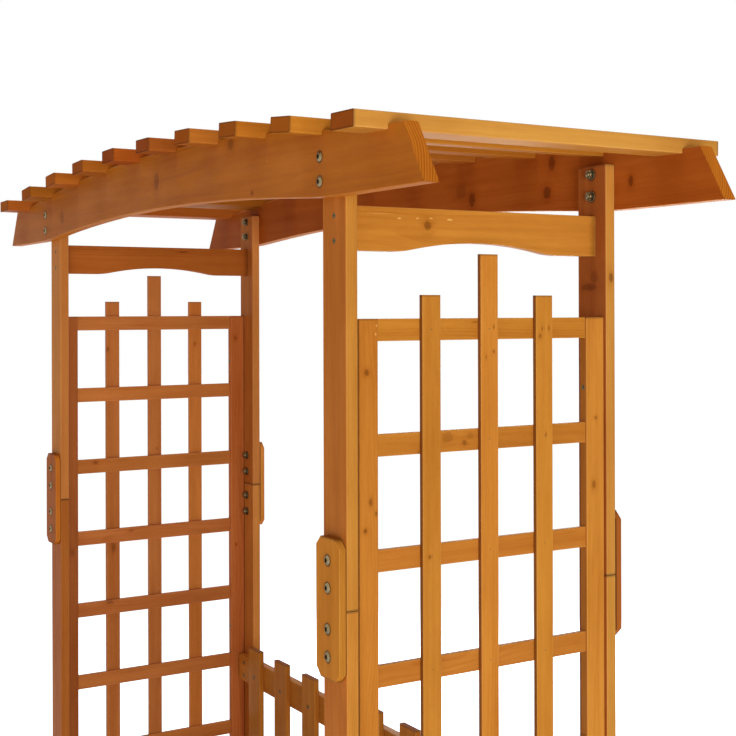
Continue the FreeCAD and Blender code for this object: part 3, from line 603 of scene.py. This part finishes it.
def fastener_places(name, kind):
    """Base, direction, a sideways direction and the length of each separate fastener."""
    bm = clean_mesh(nodes[name])
    found = []
    for faces in islands(bm):
        verts = sorted({v for f in faces for v in f.verts}, key=lambda v: v.index)
        if kind == "screw":
            # The head is the widest disc
            head = max((f for f in faces if len(f.verts) >= DISC_SIDES), key=lambda f: f.calc_area())
            base = sum((v.co for v in head.verts), Vector()) / len(head.verts)
            way = -head.normal
        else:
            low = Vector([min(v.co[k] for v in verts) for k in range(3)])
            high = Vector([max(v.co[k] for v in verts) for k in range(3)])
            base = (low + high) / 2
            end = 1.0 if base.y > 0 else -1.0
            way = Vector((0, -end, 0))
            base.y = high.y if end > 0 else low.y
            if kind == "bolt":
                base += way * BOLT_RISE
        far = max((v.co - base).dot(way) for v in verts)
        rim = max(verts, key=lambda v: round(((v.co - base) - way * (v.co - base).dot(way)).length, 6))
        side = (rim.co - base) - way * (rim.co - base).dot(way)
        found.append((base, way, side.normalized(), far))
    bm.free()
    found.sort(key=lambda place: tuple(round(value, 4) for value in place[0]))
    return found


def dress_fasteners(name, kind, material):
    verts, faces, shades = [], [], []
    rng = random.Random(name)
    for base, way, side, length in places[name]:
        if kind == "bolt":
            shape = domed_bolt(length)
        elif kind == "screw":
            shape = cross_screw(length)
        else:
            shape = flat_washer() if kind == "washer" else chamfered_nut()
        spin = 0.0 if kind == "nut" else rng.uniform(0.0, math.pi)
        across = way.cross(side)
        first = math.cos(spin) * side + math.sin(spin) * across
        second = way.cross(first)
        start = len(verts)
        verts += [base + first * v.x + second * v.y + way * v.z for v in shape[0]]
        shades += shape[1]
        faces += [[start + k for k in reversed(face)] for face in shape[2]]
    mesh = bpy.data.meshes.new("dressed_" + name)
    mesh.from_pydata(verts, [], faces)
    dark = mesh.attributes.new("metal_dirt_and_shade", "FLOAT", "POINT")
    dark.data.foreach_set("value", shades)
    mesh.shade_smooth()
    mesh.set_sharp_from_angle(angle=FASTENER_CREASE)
    mesh.materials.append(material)
    piece = bpy.data.objects.new("dressed_" + name, mesh)
    bpy.context.scene.collection.objects.link(piece)
    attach(piece, "root")
    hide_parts(name)


FASTENER_KINDS = {
    "beam_bolts": "bolt", "splice_bolts": "bolt", "seat_rail_bolts": "bolt", "washers": "washer",
    "hex_nuts": "nut", "rail_screws": "screw", "roof_slat_screws": "screw", "seat_slat_screws": "screw",
    "backrest_screws": "screw", "panel_screws": "screw",
}
HEAD_RADIUS = {"bolt": BOLT_HEAD, "screw": SCREW_HEAD, "washer": WASHER_OUTER}
places = {name: fastener_places(name, kind) for name, kind in FASTENER_KINDS.items()}
heads = [(base, way, HEAD_RADIUS[kind]) for name, kind in FASTENER_KINDS.items() if kind in HEAD_RADIUS
         for base, way, _, _ in places[name]]


# Boards

X_AXIS = Vector((1, 0, 0))
Y_AXIS = Vector((0, 1, 0))
Z_AXIS = Vector((0, 0, 1))
BEVEL = 0.0008
# Edges that are eased: their least length and angle
EASED_LENGTH = 0.005
EASED_ANGLE = math.radians(50)
STATION_STEP = 0.010
# Least height of a curved board at a station that its edges are told from
LEAST_HEIGHT = 0.01
# How squarely a face looks along the board to be a cut end, and to the front to take the painted front light
# and shade
END_FACING = 0.75
FRONT_FACING = 0.7
# How squarely a head must look at a board's wide face, and how near it must sit, to leave a ring there
SQUARE_ON = 0.9
SEATED = 0.002
# Ranges of a board's own brightness, green and blue
OWN_SHADE = ((0.93, 1.05), (0.96, 1.04), (0.92, 1.08))
# Made-up knots: how many a metre, their radius as a share of the half width, the half width that counts at
# most, their strength, and how far from the middle they go as a share of the half length and width
KNOTS_A_METRE = (0.2, 2.2)
KNOT_RADIUS = (0.10, 0.24)
KNOT_WIDTH = 0.030
KNOT_STRENGTH = (0.35, 0.65)
KNOT_ALONG = (-0.9, 0.9)
KNOT_ACROSS = (-0.8, 0.8)
# Marks that lie off every board, for those that a board doesn't use
NO_KNOT = (Vector((9.0, 9.0, 9.0)), Vector((0.001, 0.001, 0.0)))
NO_RING = Vector((9.0, 9.0, 0.001))
NO_SEAM = Vector((0.0, 0.0, -1.0))
CURVED = ("front_roof_beam", "back_roof_beam", "left_crossrail", "right_crossrail")
# Cut ends by the end of a board's name, the last row for all others: ring contrast, dark rim, reach from the
# end in metres of the darkening, partly stain and partly painted shade where the end meets the next piece,
# and colour
END_LOOKS = {
    "roof_beam": ((1.0, 0.10, 0.0025), (0.570, 0.215, 0.024)),
    "crossrail": ((0.45, 0.60, 0.0110), (0.350, 0.098, 0.0105)),
    "": ((0.45, 0.60, 0.0025), (0.350, 0.098, 0.0105)),
}
# Boards whose rings show: shares for the pith's place across and beyond the board, and for the ring width
SEEDS = {
    "front_roof_beam": (0.45, 1.0, 1.0),
    "back_roof_beam": (0.62, 0.9, 0.9),
    "right_crossrail": (0.5, 0.1, 1.0),
}


def board_frame(faces, verts):
    """Middle, half sizes and axes of a board: along it, across its widest face, and through it."""
    widest = max(faces, key=lambda f: f.calc_area())
    through = widest.normal.copy()
    spans = []
    for axis in (X_AXIS, Y_AXIS, Z_AXIS):
        reach = [v.co.dot(axis) for v in verts]
        spans.append((max(reach) - min(reach), axis))
    along = max(spans, key=lambda s: s[0])[1]
    along = (along - through * along.dot(through)).normalized()
    across = through.cross(along)
    middle = Vector()
    halves = []
    for axis in (along, across, through):
        reach = [v.co.dot(axis) for v in verts]
        middle += axis * (max(reach) + min(reach)) / 2
        halves.append((max(reach) - min(reach)) / 2)
    return middle, Vector(halves), (along, across, through)


def soften_ends(bm):
    """Eases the sharp saw-cut edges. Bolt and screw holes stay crisp."""
    sharp = [e for e in bm.edges if len(e.link_faces) == 2 and e.calc_length() > EASED_LENGTH
             and e.calc_face_angle(0) > EASED_ANGLE]
    bmesh.ops.bevel(bm, geom=sharp, offset=BEVEL, segments=2, profile=0.5, affect="EDGES", clamp_overlap=True)


def cut_stations(bm, low, high):
    """Cuts a long mesh across X or Y at regular stations, so that values vary smoothly along it."""
    axis = 0 if high.x - low.x > high.y - low.y else 1
    normal = (X_AXIS, Y_AXIS)[axis]
    start, stop = low[axis], high[axis]
    count = max(2, round((stop - start) / STATION_STEP))
    for k in range(1, count):
        point = normal * (start + (stop - start) * k / count)
        geometry = list(bm.verts) + list(bm.edges) + list(bm.faces)
        bmesh.ops.bisect_plane(bm, geom=geometry, dist=1e-7, plane_co=point, plane_no=normal)
    # The cuts leave the faces in an order that varies from run to run
    bm.verts.index_update()
    for k, face in enumerate(sorted(bm.faces, key=lambda f: sorted(v.index for v in f.verts))):
        face.index = k
    bm.faces.sort()
    return axis


def station(vert, axis):
    return round(vert.co[axis] / STATION_STEP * 4)


def outline_of(bm, axis):
    """Lowest and highest Z of a curved board at each station along it."""
    rows = {}
    for vert in bm.verts:
        key = station(vert, axis)
        low, high = rows.get(key, (math.inf, -math.inf))
        rows[key] = (min(low, vert.co.z), max(high, vert.co.z))
    return rows


def head_rings(middle, half, axes):
    """Places and radii, on the board, of the heads and washers that sit on its wide faces."""
    rings = []
    for base, way, radius in heads:
        spot = Vector([(base - middle).dot(a) for a in axes])
        on_face = abs(way.dot(axes[2])) > SQUARE_ON and abs(abs(spot.z) - half.z) < SEATED
        if on_face and abs(spot.x) < half.x and abs(spot.y) < half.y:
            rings.append(Vector((spot.x, spot.y, radius)))
    return (rings + [NO_RING] * RING_LIMIT)[:RING_LIMIT]


def board_knots(name, rng, middle, half, axes):
    """Places on the board, and reaches with strengths, of its knots."""
    knots = []
    for x, y, z, reach_along, reach_across, force in KNOTS.get(name, []):
        offset = Vector((x, y, z)) / 1000 - middle
        knots.append((Vector([offset.dot(a) for a in axes]),
                      Vector((reach_along / 1000, reach_across / 1000, force))))
    if name not in KNOTS:
        for _ in range(min(KNOT_LIMIT, int(half.x * 2 * rng.uniform(*KNOTS_A_METRE)))):
            reach = rng.uniform(*KNOT_RADIUS) * min(half.y, KNOT_WIDTH)
            place = Vector((rng.uniform(*KNOT_ALONG) * half.x, rng.uniform(*KNOT_ACROSS) * half.y,
                            rng.choice((-1.0, 1.0)) * half.z))
            knots.append((place, Vector((reach, reach, rng.uniform(*KNOT_STRENGTH)))))
    return knots + [NO_KNOT] * (KNOT_LIMIT - len(knots))


def dress_board(name):
    bm = clean_mesh(nodes[name])
    rng = random.Random(name)
    soften_ends(bm)
    curved = name in CURVED
    if curved:
        low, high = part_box(name)
        axis = cut_stations(bm, low, high)
        rows = outline_of(bm, axis)
    bm.normal_update()
    layers = {key: bm.verts.layers.float_vector.new(key) for key in
              ["wood_at", "wood_rim", "wood_half", "wood_seed", "wood_cut", "wood_cut_tint", "wood_seam"]
              + ["wood_%s_%d" % (word, k + 1) for word in ("knot", "reach") for k in range(KNOT_LIMIT)]
              + ["wood_ring_%d" % (k + 1) for k in range(RING_LIMIT)]}
    cut, cut_tint = (Vector(look) for look in next(END_LOOKS[end] for end in END_LOOKS if name.endswith(end)))
    end_layer = bm.faces.layers.float.new("wood_end")
    tone_and_front_light_layer = bm.faces.layers.float_vector.new("wood_tone_and_front_light")
    for faces in islands(bm):
        verts = {v for f in faces for v in f.verts}
        if curved:
            axes = (X_AXIS, Z_AXIS, Y_AXIS) if axis == 0 else (Y_AXIS, Z_AXIS, X_AXIS)
            middle = (low + high) / 2
            half = Vector([abs((high - low).dot(a)) / 2 for a in axes])
        else:
            middle, half, axes = board_frame(faces, verts)
        seed = Vector(SEEDS.get(name) or [rng.random() for _ in range(3)])
        shade = Vector([rng.uniform(*span) for span in OWN_SHADE])
        own_tones = next((row[1:] for row in TONES if name.startswith(row[0])), PLAIN_TONES)
        tone = shade * Vector(own_tones[0])
        front_tone_and_light = tone * Vector(own_tones[1])
        seam = NO_SEAM
        if name in SEAMS:
            # The sides are told along Y, from front to back
            turns = [1.0 if axis_way.y > 0 else -1.0 for axis_way in axes[1:]]
            seam = Vector((SEAMS[name][0] * turns[0], SEAMS[name][1] * turns[1], SEAMS[name][2]))
        rings = head_rings(middle, half, axes)
        knots = board_knots(name, rng, middle, half, axes)
        for vert in verts:
            offset = vert.co - middle
            at = Vector([offset.dot(a) for a in axes])
            rim = at.copy()
            if curved:
                bottom, top = rows[station(vert, axis)]
                if top - bottom > LEAST_HEIGHT:
                    rim.y = ((vert.co.z - bottom) / (top - bottom) * 2 - 1) * half.y
            vert[layers["wood_at"]] = at
            vert[layers["wood_rim"]] = rim
            vert[layers["wood_half"]] = half
            vert[layers["wood_seed"]] = seed
            vert[layers["wood_cut"]] = cut
            vert[layers["wood_cut_tint"]] = cut_tint
            vert[layers["wood_seam"]] = seam
            for k, ring in enumerate(rings):
                vert[layers["wood_ring_%d" % (k + 1)]] = ring
            for k, (place, reach) in enumerate(knots):
                vert[layers["wood_knot_%d" % (k + 1)]] = place
                vert[layers["wood_reach_%d" % (k + 1)]] = reach
        for face in faces:
            face[end_layer] = 1.0 if abs(face.normal.dot(axes[0])) > END_FACING else 0.0
            # Faces that look to the front take a painted light and shade
            face[tone_and_front_light_layer] = front_tone_and_light if face.normal.y < -FRONT_FACING else tone
    mesh = bpy.data.meshes.new("dressed_" + name)
    bm.to_mesh(mesh)
    bm.free()
    mesh.shade_smooth()
    mesh.set_sharp_from_angle(angle=BOARD_CREASE)
    mesh.materials.append(wood)
    piece = bpy.data.objects.new("dressed_" + name, mesh)
    bpy.context.scene.collection.objects.link(piece)
    weighted = piece.modifiers.new("even_shading", "WEIGHTED_NORMAL")
    weighted.keep_sharp = True
    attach(piece, "root")
    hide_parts(name)


for name in sorted(nodes):
    metal = zinc if slots[name] == "zinc_plated_bolts" else screw_zinc
    if slots[name] in WOOD_SLOTS:
        dress_board(name)
    elif name in FASTENER_KINDS:
        dress_fasteners(name, FASTENER_KINDS[name], metal)
    else:
        mesh = nodes[name].data
        mesh.materials.clear()
        mesh.materials.append(metal)


# Floor, light and camera

FLOOR_HALF = 30
# Distances from the middle between which the floor goes from shaded to plain white, in metres
SHADOW_REACH = (0.8, 3.6)


def background_rays(tree):
    """One for the rays that see the plain background: the camera's own, also off metal and through glass."""
    rays = tree.nodes.new("ShaderNodeLightPath").outputs
    seen = rays["Is Camera Ray"]
    for kind in ("Is Glossy Ray", "Is Transmission Ray"):
        either = tree.nodes.new("ShaderNodeMath")
        either.operation = "MAXIMUM"
        tree.links.new(seen, either.inputs[0])
        tree.links.new(rays[kind], either.inputs[1])
        seen = either.outputs[0]
    return seen


def white_to_camera(name, plain, shown, glow, bounce, bounce_tint):
    """A matt floor that the camera sees white, apart from the object's shadow, and that lights from below."""
    s = Shader(name)
    seen = background_rays(s.tree)
    matt = s.add("ShaderNodeBsdfDiffuse", {"Color": s.mix(seen, plain, shown)}).outputs[0]
    spot = s.add("ShaderNodeTexCoord").outputs["Object"]
    far = s.step(s.vector("LENGTH", spot), SHADOW_REACH[0], SHADOW_REACH[1])
    white = s.math("MULTIPLY_ADD", far, 1.0 - glow, glow - bounce)
    strength = s.math("MULTIPLY_ADD", seen, white, bounce)
    tint = s.mix(seen, bounce_tint, (1, 1, 1, 1))
    lit = s.add("ShaderNodeEmission", {"Color": tint, "Strength": strength}).outputs[0]
    both = s.add("ShaderNodeAddShader")
    s.feed(both.inputs[0], matt)
    s.feed(both.inputs[1], lit)
    return s.finish(both.outputs[0])


floor_corners = [(x * FLOOR_HALF, y * FLOOR_HALF, 0) for x, y in ((-1, -1), (1, -1), (1, 1), (-1, 1))]
floor_mesh = bpy.data.meshes.new("floor")
floor_mesh.from_pydata(floor_corners, [], [(0, 1, 2, 3)])
floor_mesh.materials.append(white_to_camera(
    "pale_floor", plain=(0.62, 0.52, 0.40, 1), shown=(1.1, 1.4, 1.8, 1),
    glow=0.36, bounce=0.51, bounce_tint=(1.0, 0.85, 0.58, 1)))
floor = bpy.data.objects.new("floor", floor_mesh)
bpy.context.scene.collection.objects.link(floor)

world = bpy.data.worlds.new("soft_sky")
bpy.context.scene.world = world
world.use_nodes = True
tree = world.node_tree
tree.nodes.clear()
sky = tree.nodes.new("ShaderNodeBackground")
sky.inputs["Color"].default_value = (1.0, 0.70, 0.56, 1)
sky.inputs["Strength"].default_value = 0.05
backdrop = tree.nodes.new("ShaderNodeBackground")
backdrop.inputs["Color"].default_value = (1, 1, 1, 1)
backdrop.inputs["Strength"].default_value = 1.0
choose = tree.nodes.new("ShaderNodeMixShader")
out = tree.nodes.new("ShaderNodeOutputWorld")
tree.links.new(background_rays(tree), choose.inputs[0])
tree.links.new(sky.outputs[0], choose.inputs[1])
tree.links.new(backdrop.outputs[0], choose.inputs[2])
tree.links.new(choose.outputs[0], out.inputs["Surface"])


def softbox(name, place, target, width, height, power, colour):
    data = bpy.data.lights.new(name, "AREA")
    data.shape = "RECTANGLE"
    data.size = width
    data.size_y = height
    data.energy = power
    data.color = colour
    lamp = bpy.data.objects.new(name, data)
    lamp.location = place
    lamp.rotation_euler = (Vector(target) - Vector(place)).to_track_quat("-Z", "Y").to_euler()
    bpy.context.scene.collection.objects.link(lamp)


# Name, place, the spot it looks at, width, height, power in watts and colour
LIGHTS = (
    ("key_light", (4.35, -1.30, 1.20), (0.0, 0.0, 1.5), 1.4, 2.2, 112.0, (1.0, 0.97, 0.88)),
    ("front_light", (1.5, -3.1, 3.4), (0.0, -0.2, 1.4), 2.6, 2.2, 13.0, (1.0, 0.65, 0.46)),
    ("top_light", (0.2, -0.5, 5.2), (0.0, -0.1, 1.0), 2.6, 2.2, 62.0, (1.0, 0.90, 0.76)),
    ("back_light", (-2.9, 3.3, 2.0), (0.0, 0.0, 1.1), 2.6, 2.2, 95.0, (1.0, 0.97, 0.90)),
)
for light in LIGHTS:
    softbox(*light)

heading = Vector((-math.sin(CAMERA_YAW) * math.cos(CAMERA_PITCH),
                  math.cos(CAMERA_YAW) * math.cos(CAMERA_PITCH), math.sin(CAMERA_PITCH)))
level_right = heading.cross(Z_AXIS).normalized()
level_up = level_right.cross(heading)
right = math.cos(CAMERA_ROLL) * level_right + math.sin(CAMERA_ROLL) * level_up
up = math.cos(CAMERA_ROLL) * level_up - math.sin(CAMERA_ROLL) * level_right
camera_data = bpy.data.cameras.new("camera")
camera_data.sensor_width = SENSOR
camera_data.lens = CAMERA_FOCAL / PICTURE_SIZE * SENSOR
camera_data.shift_x = (PICTURE_SIZE / 2 - CAMERA_CENTRE[0]) / PICTURE_SIZE
camera_data.shift_y = (CAMERA_CENTRE[1] - PICTURE_SIZE / 2) / PICTURE_SIZE
camera = bpy.data.objects.new("camera", camera_data)
turn = Matrix((right, up, -heading)).transposed().to_4x4()
camera.matrix_world = Matrix.Translation(CAMERA_PLACE) @ turn
bpy.context.scene.collection.objects.link(camera)
bpy.context.scene.camera = camera
bpy.context.scene.view_settings.view_transform = "Standard"
